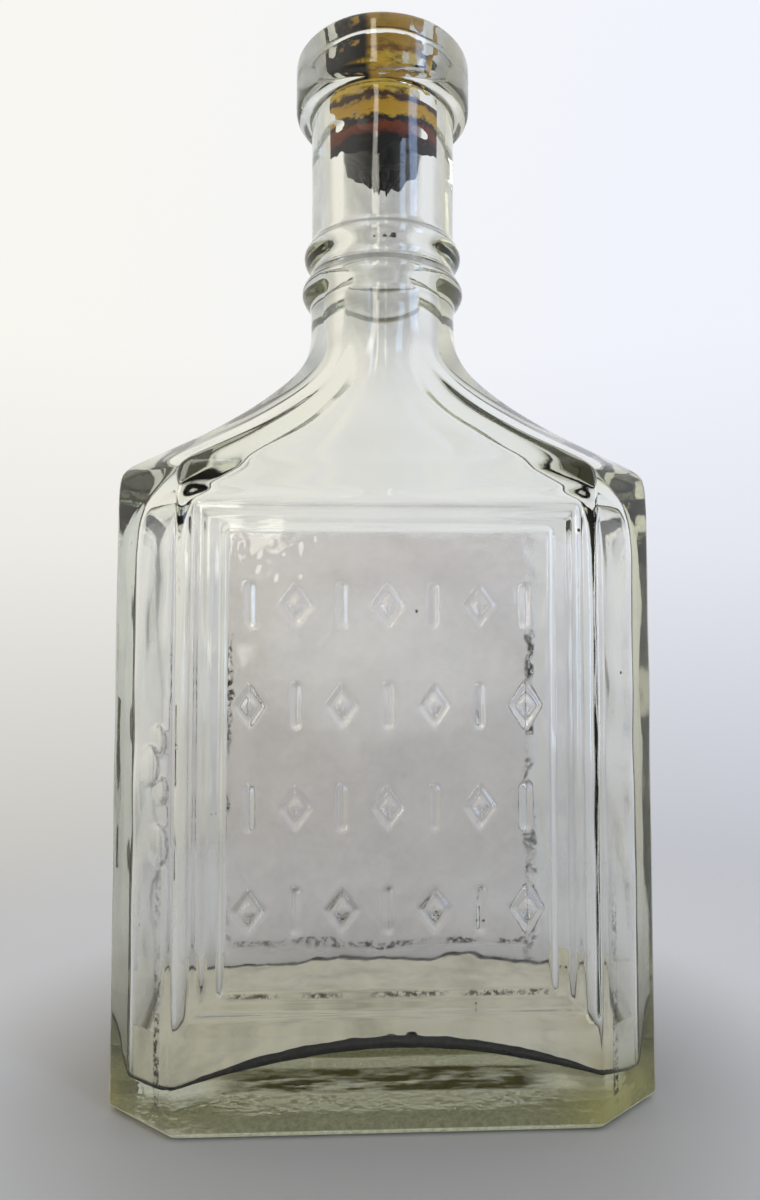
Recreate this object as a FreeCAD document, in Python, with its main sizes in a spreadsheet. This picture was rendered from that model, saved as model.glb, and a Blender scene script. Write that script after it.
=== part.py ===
"""Clear glass medicine bottle with a cork, standing on its base.

The glass is one moulded piece: a rectangular body with chamfered upright corners, a sunk panel with a
beaded frame on the front, concave shoulders, and a round neck with two rings and a heavy lip. Its hollow
has an arched floor. The other pieces are the tapered cork, the dried crust on the cork's lower end, and
the dark ring that the dried medicine left round the edge of the floor inside.

Frame: millimetres, +Z up along the neck, front panel towards -Y, origin at the centre of the base.
"""

import FreeCAD, Part
import math
import os

import Sketcher

Vector = FreeCAD.Vector

# alias, value (mm unless the meaning says otherwise), meaning
DIMENSIONS = [
    ("body_width", 80.0, "across the body, side to side"),
    ("body_depth", 40.0, "front face to back face"),
    ("chamfer_wide", 10.2, "corner chamfer, measured along the front face"),
    ("chamfer_deep", 8.2, "corner chamfer, measured along the side face"),
    ("shoulder_low", 93.0, "height of the shoulder's outer corner"),
    ("shoulder_high", 118.0, "height where the shoulder has become the round neck"),
    ("shoulder_arc", 13.0, "radius of the shoulder's curve beside the neck"),
    ("shoulder_turn", 50.0, "degrees that this curve turns through"),
    ("shoulder_sweep", 75.0, "radius of the shoulder's long outer curve"),
    ("total_height", 163.4, "base to the top of the lip"),
    ("neck_radius", 11.8, "outside of the neck"),
    ("ring_low", 124.4, "height of the lower neck ring"),
    ("ring_low_bulge", 1.5, "how far the lower neck ring stands out"),
    ("ring_high", 130.4, "height of the upper neck ring"),
    ("ring_high_bulge", 1.2, "how far the upper neck ring stands out"),
    ("lip_radius", 14.4, "outside of the lip"),
    ("lip_height", 9.6, "height of the lip"),
    ("lip_round", 1.3, "rounding of the lip's top edge"),
    ("lip_under_round", 1.6, "rounding of the lip's lower edge"),
    ("bore_radius", 6.2, "bore of the neck at its foot"),
    ("bore_taper", 0.35, "how much wider the bore is at the mouth"),
    ("mouth_round", 0.8, "rounding of the bore's edge at the mouth"),
    ("wall_side", 3.5, "glass at the side walls"),
    ("wall_front", 4.0, "glass at the front and back walls"),
    ("wall_top", 4.0, "glass over the hollow's shoulder, measured upright"),
    ("inner_corner", 9.0, "corner size of the hollow"),
    ("floor_low", 4.9, "glass under the hollow at its two sides"),
    ("floor_high", 12.0, "glass under the middle of the arched floor"),
    ("frame_half", 28.5, "half the width of the panel's outer frame"),
    ("frame_low", 14.7, "lower edge of the outer frame"),
    ("frame_high", 88.3, "upper edge of the outer frame"),
    ("frame_sink", 0.8, "depth of the frame under the face"),
    ("panel_half", 23.3, "half the width of the sunk panel"),
    ("panel_low", 18.6, "lower edge of the sunk panel"),
    ("panel_high", 83.7, "upper edge of the sunk panel"),
    ("panel_sink", 0.9, "depth of the panel under the frame"),
    ("bead_inset", 2.2, "distance of the bead's centre line from the frame's edge"),
    ("bead_width", 1.5, "width of the bead in the frame"),
    ("bead_height", 0.55, "height of the bead over the frame"),
    ("bead_corner", 1.6, "corner radius of the bead's centre line"),
    ("motif_height", 6.4, "height of a raised motif"),
    ("motif_width", 4.6, "width of a raised lozenge"),
    ("motif_line", 1.1, "width of the raised line"),
    ("motif_relief", 0.5, "how far the motifs stand out"),
    ("motif_pitch", 6.5, "distance between motifs in a row"),
    ("row_low", 30.0, "height of the lowest row of motifs"),
    ("row_pitch", 14.2, "distance between rows"),
    ("foot_inset", 5.0, "width of the resting rim under the base"),
    ("foot_sink", 0.9, "depth of the hollow under the base"),
    ("cork_length", 18.6, "length of the cork"),
    ("cork_top", 162.4, "height of the cork's top"),
    ("cork_radius", 6.44, "radius of the cork's upper end"),
    ("cork_tip_radius", 5.5, "radius of the cork's lower end"),
    ("cork_bevel", 0.4, "bevel round the cork's two ends"),
    ("crust_height", 3.4, "height of the dried crust under the cork"),
    ("crust_radius", 4.9, "radius of the crust at the cork"),
    ("crust_tip_radius", 1.8, "radius of the crust's lower end"),
    ("residue_size", 1.2, "width and height of the dried ring on the floor"),
    ("residue_gap", 0.05, "clearance between the dried ring and the glass"),
]
SHOULDER_SECTIONS = 9
NECK_FLAT_DEGREES = 27.0  # half the angle that each main arc of the neck's section spans
DEPTH_POWER = 1.8  # how late the shoulder's depth opens out towards the body
ROWS = 4
COLUMNS = 7
DIAGONAL = math.sqrt(0.5)

doc = FreeCAD.newDocument("medicine_bottle")
sheet = doc.addObject("Spreadsheet::Sheet", "Dims")


def fill_sheet():
    """Writes every driving dimension into the sheet with its alias and meaning."""
    for row, (alias, value, meaning) in enumerate(DIMENSIONS, start=1):
        sheet.set(f"A{row}", alias)
        sheet.set(f"B{row}", str(value))
        sheet.set(f"C{row}", meaning)
        sheet.setAlias(f"B{row}", alias)
    doc.recompute()


def dim(alias):
    """The value of one cell of the sheet."""
    return float(sheet.get(alias))


# ---- sketches and features -------------------------------------------------------------------------


def new_sketch(body, name, role, offset=None):
    """A sketch on an origin plane of the body, moved along the plane's normal by an expression."""
    sketch = body.newObject("Sketcher::SketchObject", name)
    plane = next(feature for feature in body.Origin.OriginFeatures if feature.Role == role)
    sketch.AttachmentSupport = (plane, [""])
    sketch.MapMode = "FlatFace"
    if offset is not None:
        sketch.setExpression("AttachmentOffset.Base.z", offset)
    return sketch


def draw(sketch, edges):
    """Puts edges worked out from the sheet into a sketch and locks them there."""
    first = sketch.GeometryCount
    sketch.addGeometry(edges, False)
    sketch.addConstraint([Sketcher.Constraint("Block", first + i) for i in range(len(edges))])


def closed_lines(points):
    """Straight edges through the points and back to the first one."""
    count = len(points)
    return [Part.LineSegment(points[i], points[(i + 1) % count]) for i in range(count)]


def value_of(expression):
    """The number that an expression in the sheet's aliases gives."""
    result = sheet.evalExpression(expression.replace("Dims.", ""))
    return float(getattr(result, "Value", result))


def polygon(sketch, corners):
    """A closed polygon whose corners are pairs of expressions in the sheet's aliases."""
    points = [Vector(value_of(x), value_of(y), 0) for x, y in corners]
    first, count = sketch.GeometryCount, len(points)
    sketch.addGeometry(closed_lines(points), False)
    for i in range(count):
        sketch.addConstraint(Sketcher.Constraint("Coincident", first + i, 2, first + (i + 1) % count, 1))
    for i, corner in enumerate(corners):
        for kind, expression in zip(("DistanceX", "DistanceY"), corner):
            index = sketch.addConstraint(Sketcher.Constraint(kind, -1, 1, first + i, 1, 1.0))
            sketch.setExpression(f"Constraints[{index}]", expression)


def rectangle(sketch, half, low, high):
    """An upright rectangle, symmetric about the sketch's vertical axis."""
    polygon(sketch, [(f"-({half})", low), (half, low), (half, high), (f"-({half})", high)])


def pad(body, name, sketch, length):
    """A Pad of a sketch, by an expression."""
    feature = body.newObject("PartDesign::Pad", name)
    feature.Profile = sketch
    feature.setExpression("Length", length)
    doc.recompute()
    return feature


def pocket(body, name, sketch, length, reverse=False, both_ways=False):
    """A Pocket of a sketch, which stops the script if it takes nothing away."""
    before = body.Shape.Volume
    feature = body.newObject("PartDesign::Pocket", name)
    feature.Profile = sketch
    feature.setExpression("Length", length)
    feature.Reversed = reverse
    feature.Midplane = both_ways
    doc.recompute()
    if body.Shape.Volume >= before:
        raise RuntimeError(f"{name} cut nothing")
    return feature


def revolve(body, name, edges):
    """A full Revolution of a closed half profile about the vertical axis."""
    sketch = new_sketch(body, f"{name}Profile", "XZ_Plane")
    draw(sketch, edges)
    feature = body.newObject("PartDesign::Revolution", name)
    feature.Profile = sketch
    feature.ReferenceAxis = (sketch, ["V_Axis"])
    feature.Angle = 360.0
    doc.recompute()
    return feature


def loft(body, name, section_at):
    """A loft through horizontal sections that are evenly spaced from share 0 to share 1."""
    sketches = []
    for i in range(SHOULDER_SECTIONS):
        height, edges = section_at(i / (SHOULDER_SECTIONS - 1))
        sketch = new_sketch(body, f"{name}Section{i}", "XY_Plane")
        sketch.AttachmentOffset = FreeCAD.Placement(Vector(0, 0, height), FreeCAD.Rotation())
        draw(sketch, edges)
        sketches.append(sketch)
    doc.recompute()
    feature = body.newObject("PartDesign::AdditiveLoft", name)
    feature.Profile = sketches[0]
    feature.Sections = sketches[1:]
    doc.recompute()
    return feature


# ---- the bottle's sections and profiles --------------------------------------------------------------


def eight_edges(a, b, cut_x, cut_y, side_sag, corner_sag):
    """A section as four main sides and four corners, each a straight edge or an arc.

    a and b are the half sizes, cut_x and cut_y are what each corner takes off them, and the sags are how
    far the sides and the corners bulge out from their chords.
    """
    ends, middles = [], []
    for sx, sy in ((1, -1), (1, 1), (-1, 1), (-1, -1)):
        on_front = Vector(sx * (a - cut_x), sy * (b - side_sag), 0)
        on_side = Vector(sx * (a - side_sag), sy * (b - cut_y), 0)
        outward = Vector(sx * cut_y, sy * cut_x, 0).normalize()
        corner = (on_front + on_side) * 0.5 + outward * corner_sag
        following = Vector(a * sx, 0, 0) if sx * sy < 0 else Vector(0, b * sy, 0)
        ends += (on_front, on_side) if sx * sy < 0 else (on_side, on_front)
        middles += [corner, following]
    edges = []
    for i, middle in enumerate(middles):
        start, end = ends[i], ends[(i + 1) % 8]
        straight = (middle - (start + end) * 0.5).Length < 0.02
        edges.append(Part.LineSegment(start, end) if straight else Part.Arc(start, middle, end))
    return edges


def circle_measures(radius):
    """Corner cut, side sag and corner sag that make eight_edges a circle."""
    flat = math.radians(NECK_FLAT_DEGREES)
    across, along = radius * math.sin(flat), radius * math.cos(flat)
    return radius - across, radius - along, radius - (across + along) * DIAGONAL


def shoulder_half_width(height):
    """Half the shoulder's width: a tight arc beside the neck, then a long shallow one to the corner."""
    neck, arc, top = dim("neck_radius"), dim("shoulder_arc"), dim("shoulder_high")
    turn = math.radians(dim("shoulder_turn"))
    bend_x, bend_z = neck + arc * (1.0 - math.cos(turn)), top - arc * math.sin(turn)
    if height >= bend_z:
        return neck + arc - math.sqrt(arc**2 - (top - height) ** 2)
    corner_x, corner_z = dim("body_width") / 2, dim("shoulder_low")
    sag = math.hypot(corner_x - bend_x, bend_z - corner_z) ** 2 / (8 * dim("shoulder_sweep"))
    share = (bend_z - height) / (bend_z - corner_z)
    return bend_x + (corner_x - bend_x) * share - 6 * sag * share * (1 - share)


def shoulder_half_depth(height):
    """Half the shoulder's depth, which opens out from the neck to the faces."""
    share = (dim("shoulder_high") - height) / (dim("shoulder_high") - dim("shoulder_low"))
    return dim("neck_radius") + (dim("body_depth") / 2 - dim("neck_radius")) * share**DEPTH_POWER


def shoulder_height(share):
    """Height on the outer shoulder, from 0 at the body to 1 at the neck."""
    return dim("shoulder_low") + (dim("shoulder_high") - dim("shoulder_low")) * share


def shoulder_section(share):
    """Height and edges of the outer shoulder, from 0 at the body to 1 at the neck."""
    height = shoulder_height(share)
    neck_cut, side_sag, corner_sag = circle_measures(dim("neck_radius"))
    cut_x = dim("chamfer_wide") + (neck_cut - dim("chamfer_wide")) * share
    cut_y = dim("chamfer_deep") + (neck_cut - dim("chamfer_deep")) * share
    roundness = share**1.5
    return height, eight_edges(shoulder_half_width(height), shoulder_half_depth(height), cut_x, cut_y,
                               side_sag * roundness, corner_sag * roundness)


def hollow_section(share):
    """Height and edges of the hollow's shoulder, which follows the outer one inside the glass."""
    outer = shoulder_height(share)
    height = outer - dim("wall_top")
    neck_wall = dim("neck_radius") - dim("bore_radius")
    wall_x = dim("wall_side") + (neck_wall - dim("wall_side")) * share
    wall_y = dim("wall_front") + (neck_wall - dim("wall_front")) * share
    bore_cut, side_sag, bore_corner_sag = circle_measures(dim("bore_radius"))
    cut = dim("inner_corner") + (bore_cut - dim("inner_corner")) * share
    body_corner_sag = dim("inner_corner") * (1.0 - DIAGONAL)
    corner_sag = body_corner_sag + (bore_corner_sag - body_corner_sag) * share
    return height, eight_edges(shoulder_half_width(outer) - wall_x, shoulder_half_depth(outer) - wall_y,
                               cut, cut, side_sag * share**1.5, corner_sag)


def quarter_arc(centre_x, centre_z, radius, upward):
    """A convex quarter arc that meets the side and the top (or the underside) of a round rim."""
    rise = 1 if upward else -1
    side = Vector(centre_x + radius, centre_z, 0)
    middle = Vector(centre_x + radius * DIAGONAL, centre_z + rise * radius * DIAGONAL, 0)
    end = Vector(centre_x, centre_z + rise * radius, 0)
    return Part.Arc(side, middle, end) if upward else Part.Arc(end, middle, side)


def ring_arc(height, bulge):
    """The arc of one neck ring."""
    neck, half = dim("neck_radius"), bulge * 1.9
    return Part.Arc(Vector(neck, height - half, 0), Vector(neck + bulge, height, 0),
                    Vector(neck, height + half, 0))


def neck_outline():
    """The neck's half profile with its two rings and the lip, closed along the axis."""
    neck, lip, top = dim("neck_radius"), dim("lip_radius"), dim("total_height")
    under, over, foot = dim("lip_under_round"), dim("lip_round"), dim("shoulder_high")
    lip_low = top - dim("lip_height")
    low_ring = ring_arc(dim("ring_low"), dim("ring_low_bulge"))
    high_ring = ring_arc(dim("ring_high"), dim("ring_high_bulge"))
    lip_under = quarter_arc(lip - under, lip_low + under, under, False)
    lip_over = quarter_arc(lip - over, top - over, over, True)
    return [
        Part.LineSegment(Vector(0, foot, 0), Vector(neck, foot, 0)),
        Part.LineSegment(Vector(neck, foot, 0), low_ring.StartPoint),
        low_ring,
        Part.LineSegment(low_ring.EndPoint, high_ring.StartPoint),
        high_ring,
        Part.LineSegment(high_ring.EndPoint, Vector(neck, lip_low, 0)),
        Part.LineSegment(Vector(neck, lip_low, 0), lip_under.StartPoint),
        lip_under,
        Part.LineSegment(lip_under.EndPoint, lip_over.StartPoint),
        lip_over,
        Part.LineSegment(lip_over.EndPoint, Vector(0, top, 0)),
        Part.LineSegment(Vector(0, top, 0), Vector(0, foot, 0)),
    ]


def bore_outline():
    """The bore's half profile, from the top of the hollow's shoulder to the mouth."""
    bore, top, rounding = dim("bore_radius"), dim("total_height"), dim("mouth_round")
    mouth, foot = bore + dim("bore_taper"), dim("shoulder_high") - dim("wall_top")
    flare_middle = Vector(mouth + rounding * (1 - DIAGONAL), top - rounding * (1 - DIAGONAL), 0)
    flare = Part.Arc(Vector(mouth, top - rounding, 0), flare_middle, Vector(mouth + rounding, top, 0))
    return [
        Part.LineSegment(Vector(0, foot, 0), Vector(bore, foot, 0)),
        Part.LineSegment(Vector(bore, foot, 0), flare.StartPoint),
        flare,
        Part.LineSegment(flare.EndPoint, Vector(0, top, 0)),
        Part.LineSegment(Vector(0, top, 0), Vector(0, foot, 0)),
    ]


# ---- glass_bottle ------------------------------------------------------------------------------------


def add_body(body):
    """The upright block with its four chamfered corners."""
    wide, deep = "Dims.body_width / 2", "Dims.body_depth / 2"
    inner_x, inner_y = f"({wide} - Dims.chamfer_wide)", f"({deep} - Dims.chamfer_deep)"
    plan = new_sketch(body, "Plan", "XY_Plane")
    polygon(plan, [(inner_x, f"-{deep}"), (wide, f"-{inner_y}"), (wide, inner_y), (inner_x, deep),
                   (f"-{inner_x}", deep), (f"-{wide}", inner_y), (f"-{wide}", f"-{inner_y}"),
                   (f"-{inner_x}", f"-{deep}")])
    pad(body, "BodyPad", plan, "Dims.shoulder_low")


def add_foot(body):
    """The shallow hollow under the base, which leaves a resting rim."""
    wide, deep = "(Dims.body_width / 2 - Dims.foot_inset)", "(Dims.body_depth / 2 - Dims.foot_inset)"
    inner_x = "(Dims.body_width / 2 - Dims.chamfer_wide - Dims.foot_inset / 2)"
    inner_y = "(Dims.body_depth / 2 - Dims.chamfer_deep - Dims.foot_inset / 2)"
    plan = new_sketch(body, "FootPlan", "XY_Plane")
    polygon(plan, [(inner_x, f"-{deep}"), (wide, f"-{inner_y}"), (wide, inner_y), (inner_x, deep),
                   (f"-{inner_x}", deep), (f"-{wide}", inner_y), (f"-{wide}", f"-{inner_y}"),
                   (f"-{inner_x}", f"-{deep}")])
    pocket(body, "FootPocket", plan, "Dims.foot_sink", reverse=True)


def rounded_rectangle(half, low, high, radius):
    """Edges of an upright rectangle with rounded corners."""
    edges, points = [], []
    for sx, z, sz in ((1, low, -1), (1, high, 1), (-1, high, 1), (-1, low, -1)):
        centre = Vector(sx * (half - radius), z - sz * radius, 0)
        on_side, on_end = centre + Vector(sx * radius, 0, 0), centre + Vector(0, sz * radius, 0)
        middle = centre + Vector(sx * radius * DIAGONAL, sz * radius * DIAGONAL, 0)
        start, end = (on_end, on_side) if sx * sz < 0 else (on_side, on_end)
        edges.append(Part.Arc(start, middle, end))
        points.append((start, end))
    for i in range(4):
        edges.append(Part.LineSegment(points[i][1], points[(i + 1) % 4][0]))
    return edges


def add_panel(body):
    """The sunk frame, its raised bead and the sunk panel on the front face."""
    frame = new_sketch(body, "Frame", "XZ_Plane", "Dims.body_depth / 2")
    rectangle(frame, "Dims.frame_half", "Dims.frame_low", "Dims.frame_high")
    pocket(body, "FramePocket", frame, "Dims.frame_sink")

    frame_floor = "Dims.body_depth / 2 - Dims.frame_sink"
    bead = new_sketch(body, "Bead", "XZ_Plane", frame_floor)
    for grow in (dim("bead_width") / 2, -dim("bead_width") / 2):
        inset = dim("bead_inset") - grow
        draw(bead, rounded_rectangle(dim("frame_half") - inset, dim("frame_low") + inset,
                                     dim("frame_high") - inset, dim("bead_corner") + grow))
    pad(body, "BeadPad", bead, "Dims.bead_height")

    panel = new_sketch(body, "Panel", "XZ_Plane", frame_floor)
    rectangle(panel, "Dims.panel_half", "Dims.panel_low", "Dims.panel_high")
    pocket(body, "PanelPocket", panel, "Dims.panel_sink")


def diamond(x, z, half_w, half_h):
    """Edges of an upright diamond."""
    return closed_lines([Vector(x, z - half_h, 0), Vector(x + half_w, z, 0),
                         Vector(x, z + half_h, 0), Vector(x - half_w, z, 0)])


def bar(x, z, half_w, half_h):
    """Edges of an upright bar."""
    return closed_lines([Vector(x - half_w, z - half_h, 0), Vector(x + half_w, z - half_h, 0),
                         Vector(x + half_w, z + half_h, 0), Vector(x - half_w, z + half_h, 0)])


def add_motifs(body):
    """Rows of raised lozenges and short bars on the front panel."""
    depth = "Dims.body_depth / 2 - Dims.frame_sink - Dims.panel_sink"
    sketch = new_sketch(body, "Motifs", "XZ_Plane", depth)
    half_w, half_h, line = dim("motif_width") / 2, dim("motif_height") / 2, dim("motif_line")
    taller = half_h / half_w
    edges = []
    for row in range(ROWS):
        z = dim("row_low") + row * dim("row_pitch")
        for column in range(COLUMNS):
            x = (column - (COLUMNS - 1) / 2) * dim("motif_pitch")
            if (row + column) % 2 == 0:
                edges += diamond(x, z, half_w, half_h)
                edges += diamond(x, z, half_w - line, half_h - line * taller)
            else:
                edges += bar(x, z, line / 2, half_h)
    draw(sketch, edges)
    pad(body, "MotifPad", sketch, "Dims.motif_relief")


def make_outside():
    """The bottle as a solid block of glass."""
    body = doc.addObject("PartDesign::Body", "GlassOutside")
    add_body(body)
    loft(body, "Shoulder", shoulder_section)
    revolve(body, "Neck", neck_outline())
    add_foot(body)
    add_panel(body)
    add_motifs(body)
    return body


def floor_arc(rise):
    """Left end, right end and arc of the floor's curve, raised by rise, past both side walls."""
    half = dim("body_width") / 2
    drop = (dim("floor_high") - dim("floor_low")) * (half / (half - dim("wall_side"))) ** 2
    left = Vector(-half, dim("floor_high") + rise - drop, 0)
    right = Vector(half, left.y, 0)
    return left, right, Part.Arc(right, Vector(0, dim("floor_high") + rise, 0), left)


def cut_under_arc(body, name, rise):
    """Cuts away everything under the floor's curve, raised by rise."""
    left, right, arc = floor_arc(rise)
    low_left, low_right = Vector(left.x, -1, 0), Vector(right.x, -1, 0)
    sketch = new_sketch(body, f"{name}Profile", "XZ_Plane")
    draw(sketch, [arc, Part.LineSegment(left, low_left), Part.LineSegment(low_left, low_right),
                  Part.LineSegment(low_right, right)])
    pocket(body, name, sketch, "Dims.body_depth", both_ways=True)


def make_hollow():
    """The space inside the glass: the body's hollow over the arched floor, the shoulder and the bore."""
    body = doc.addObject("PartDesign::Body", "Hollow")
    height, edges = hollow_section(0.0)
    plan = new_sketch(body, "HollowPlan", "XY_Plane")
    draw(plan, edges)
    pad(body, "HollowPad", plan, "Dims.shoulder_low - Dims.wall_top")
    cut_under_arc(body, "FloorArch", 0.0)
    loft(body, "HollowShoulder", hollow_section)
    revolve(body, "Bore", bore_outline())
    return body


def make_glass():
    """The finished glass: the solid block less the hollow."""
    glass = doc.addObject("Part::Cut", "GlassBottle")
    glass.Base = make_outside()
    glass.Tool = make_hollow()
    glass.Label = "glass_bottle"
    return glass


# ---- the small pieces --------------------------------------------------------------------------------


def ring_plan(inset):
    """Edges of the hollow's plan, made smaller all round."""
    half_x = dim("body_width") / 2 - dim("wall_side") - inset
    half_y = dim("body_depth") / 2 - dim("wall_front") - inset
    cut = dim("inner_corner") - inset
    return eight_edges(half_x, half_y, cut, cut, 0.0, cut * (1.0 - DIAGONAL))


def make_floor_residue():
    """The dark ring of dried medicine that lies in the corner between the floor and the walls."""
    body = doc.addObject("PartDesign::Body", "FloorResidue")
    plan = new_sketch(body, "ResiduePlan", "XY_Plane")
    draw(plan, ring_plan(dim("residue_gap")))
    draw(plan, ring_plan(dim("residue_gap") + dim("residue_size")))
    pad(body, "ResiduePad", plan, "Dims.floor_high * 2")
    cut_under_arc(body, "ResidueUnderside", dim("residue_gap"))
    left, right, arc = floor_arc(dim("residue_gap") + dim("residue_size"))
    above = 3 * dim("floor_high")
    high_left, high_right = Vector(left.x, above, 0), Vector(right.x, above, 0)
    top = new_sketch(body, "ResidueTopProfile", "XZ_Plane")
    draw(top, [arc, Part.LineSegment(left, high_left), Part.LineSegment(high_left, high_right),
               Part.LineSegment(high_right, right)])
    pocket(body, "ResidueTop", top, "Dims.body_depth", both_ways=True)
    body.Label = "floor_residue"
    return body


def make_cork():
    """The tapered cork, with a small bevel round each end."""
    body = doc.addObject("PartDesign::Body", "Cork")
    top, bottom = dim("cork_top"), dim("cork_top") - dim("cork_length")
    wide, narrow, bevel = dim("cork_radius"), dim("cork_tip_radius"), dim("cork_bevel")
    revolve(body, "CorkTurned", closed_lines([
        Vector(0, bottom, 0), Vector(narrow - bevel, bottom, 0), Vector(narrow, bottom + bevel, 0),
        Vector(wide, top - bevel, 0), Vector(wide - bevel, top, 0), Vector(0, top, 0)]))
    body.Label = "cork_stopper"
    return body


def make_crust():
    """The dried crust under the cork, which narrows downwards."""
    crust = doc.addObject("Part::Cone", "Crust")
    crust.setExpression("Radius1", "Dims.crust_tip_radius")
    crust.setExpression("Radius2", "Dims.crust_radius")
    crust.setExpression("Height", "Dims.crust_height")
    crust.setExpression("Placement.Base.z", "Dims.cork_top - Dims.cork_length - Dims.crust_height")
    crust.Label = "cork_crust"
    return crust


def check_and_export(pieces):
    """Stops at any failed object or bad shape, then writes one STEP file for each piece."""
    doc.recompute()
    for item in doc.Objects:
        if "Invalid" in item.State or "Error" in item.State:
            raise RuntimeError(f"{item.Name} failed: {item.State}")
    os.makedirs("parts", exist_ok=True)
    for piece in pieces:
        shape = piece.Shape
        if shape.isNull() or not shape.isValid() or len(shape.Solids) != 1:
            raise RuntimeError(f"{piece.Label} has a bad shape")
        print(f"{piece.Label}: {shape.Volume:.0f} mm3")
        shape.exportStep(f"parts/{piece.Label}.step")


fill_sheet()
check_and_export([make_glass(), make_floor_residue(), make_cork(), make_crust()])
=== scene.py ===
"""Looks for the medicine bottle: moulded glass, a cork with its crust, dried residue and a pale stage.

Shapes are worked out in millimetres and written to meshes in metres. +Z runs up the neck and the front
panel faces -Y.
"""

import math

import bpy
import numpy as np
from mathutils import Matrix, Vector


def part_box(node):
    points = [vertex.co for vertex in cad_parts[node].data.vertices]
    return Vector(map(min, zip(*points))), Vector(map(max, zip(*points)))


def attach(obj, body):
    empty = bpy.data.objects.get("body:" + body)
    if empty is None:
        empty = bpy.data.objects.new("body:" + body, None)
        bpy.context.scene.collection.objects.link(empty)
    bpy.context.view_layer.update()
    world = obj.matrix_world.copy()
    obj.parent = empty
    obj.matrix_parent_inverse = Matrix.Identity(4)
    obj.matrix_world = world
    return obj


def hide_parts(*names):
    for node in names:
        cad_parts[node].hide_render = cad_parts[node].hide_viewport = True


MM = 0.001

# ---- sizes, in millimetres, from the middle of the base ------------------------------------------------

NECK_RADIUS = 11.8
LIP_RADIUS = 14.4
LIP_HEIGHT = 9.6
LIP_ROUND = 1.3
LIP_UNDER_ROUND = 1.6
LIP_FOOT_ROUND = 0.8
RINGS = ((124.4, 1.5), (130.4, 1.2))  # height and bulge of the two neck rings
RING_HALF_HEIGHT = 1.9  # in bulges
RING_SHARPNESS = 1.4
BORE_FOOT = 6.2
BORE_MOUTH = 6.55
MOUTH_ROUND = 0.8
CHAMFER = (10.2, 8.2)  # along the front face and along the side face
NECK_CUT = NECK_RADIUS * 0.55  # what the chamfers tend to where the section turns round
BORE_CUT = BORE_FOOT * 0.5
EDGE_ROUND = 1.1
HEEL_ROUND = 1.6
SHOULDER_LOW = 93.0
SHOULDER_HIGH = 118.0
SHOULDER_ARC = 13.0
SHOULDER_TURN = math.radians(50.0)
SHOULDER_SWEEP = 75.0
SHOULDER_SOFTNESS = 1.2
SHOULDER_START = SHOULDER_LOW - 1.0
HOLLOW_SOFTNESS = 3.0
DEPTH_POWER = 1.8
SHOULDER_ROUNDING = 1.5  # a power of the height: how late the section turns round, outside
HOLLOW_ROUNDING = 1.2
WALL_SIDE = 3.5
WALL_FRONT = 4.0
WALL_TOP = 4.0
HOLLOW_CUT = (5.9, 4.7)
HOLLOW_ROUND = 1.6
HOLLOW_TOP = SHOULDER_HIGH - WALL_TOP
HOLLOW_BEND = SHOULDER_LOW - WALL_TOP - 9.0  # the hollow is straight from here down to the floor
FLOOR_LOW = 5.3
FLOOR_HIGH = 11.4
ARCH_MIDDLE = 1.6
ARCH_HALF = (32.0, 62.0)  # at the front wall and at the back wall
ARCH_WIDENS = (-12.0, 14.0)  # between these depths
ARCH_SOFTNESS = 0.5
FLOOR_FILLET = 0.7
FOOT_SINK = 0.9
FOOT_RIM = (0.74, 0.88)  # where the sink ends, in shares of the base
CENTRE = 0.02  # the innermost ring of the base and of the floor, as a share of its full size
FRAME = (28.5, 14.7, 88.3)  # half width, lower edge, upper edge
PANEL = (23.3, 18.6, 83.7)
FRAME_CORNER = 1.6
PANEL_CORNER = 0.9
FRAME_SINK = 0.8
PANEL_SINK = 0.9
FRAME_SLOPE = 1.2  # half the width of the frame's soft edge
PANEL_SLOPE = 0.3
BEAD_INSET = 2.2
BEAD_HALF_WIDTH = 1.1
BEAD_HEIGHT = 0.35
MOTIF_ROWS = 4
MOTIF_COLUMNS = 7
MOTIF_HALF = (2.3, 3.2)
MOTIF_PITCH = (6.5, 14.2)
MOTIF_LOW = 30.0
MOTIF_LINE = 0.62
MOTIF_RELIEF = 0.5
HAMMERED = 0.05  # relief of the small dents in the panel
CHIPS = ((53.5, 0.78, 1.5), (50.0, 0.64, 1.9), (46.8, 0.84, 1.3), (39.3, 0.80, 1.9))  # height, place, radius
CHIP_STRETCH = (1.0, 1.0, 0.62)  # bruises are taller than wide
CHIP_DEPTH = 0.42
CHIP_HEIGHTS = (34.0, 58.0)  # the stretch of the corner that is drawn in fine cells
CORK_TOP = 163.1
CORK_BOTTOM = 143.8
CORK_PRESS = 0.04  # how far the squeezed cork reaches into the glass where it touches
CRUST_BOTTOM = 140.4
CRUST_RADIUS = 3.9

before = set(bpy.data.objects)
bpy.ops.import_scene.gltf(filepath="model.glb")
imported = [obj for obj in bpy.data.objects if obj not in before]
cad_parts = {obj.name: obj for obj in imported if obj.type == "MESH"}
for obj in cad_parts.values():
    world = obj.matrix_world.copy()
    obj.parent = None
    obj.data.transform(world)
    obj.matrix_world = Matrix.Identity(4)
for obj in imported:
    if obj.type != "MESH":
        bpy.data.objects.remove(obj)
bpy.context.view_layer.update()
_, glass_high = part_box("glass_bottle")
HALF_WIDTH = glass_high.x / MM
HALF_DEPTH = glass_high.y / MM
HEIGHT = glass_high.z / MM


# ---- small tools -------------------------------------------------------------------------------------


def smoothstep(low, high, value):
    """0 below low, 1 above high and a smooth rise between."""
    t = np.clip((value - low) / (high - low), 0.0, 1.0)
    return t * t * (3.0 - 2.0 * t)


def lump(value, half_width):
    """1 at 0, falling smoothly to 0 at half_width on both sides."""
    return np.clip(1.0 - (value / half_width) ** 2, 0.0, 1.0) ** 1.5


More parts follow.
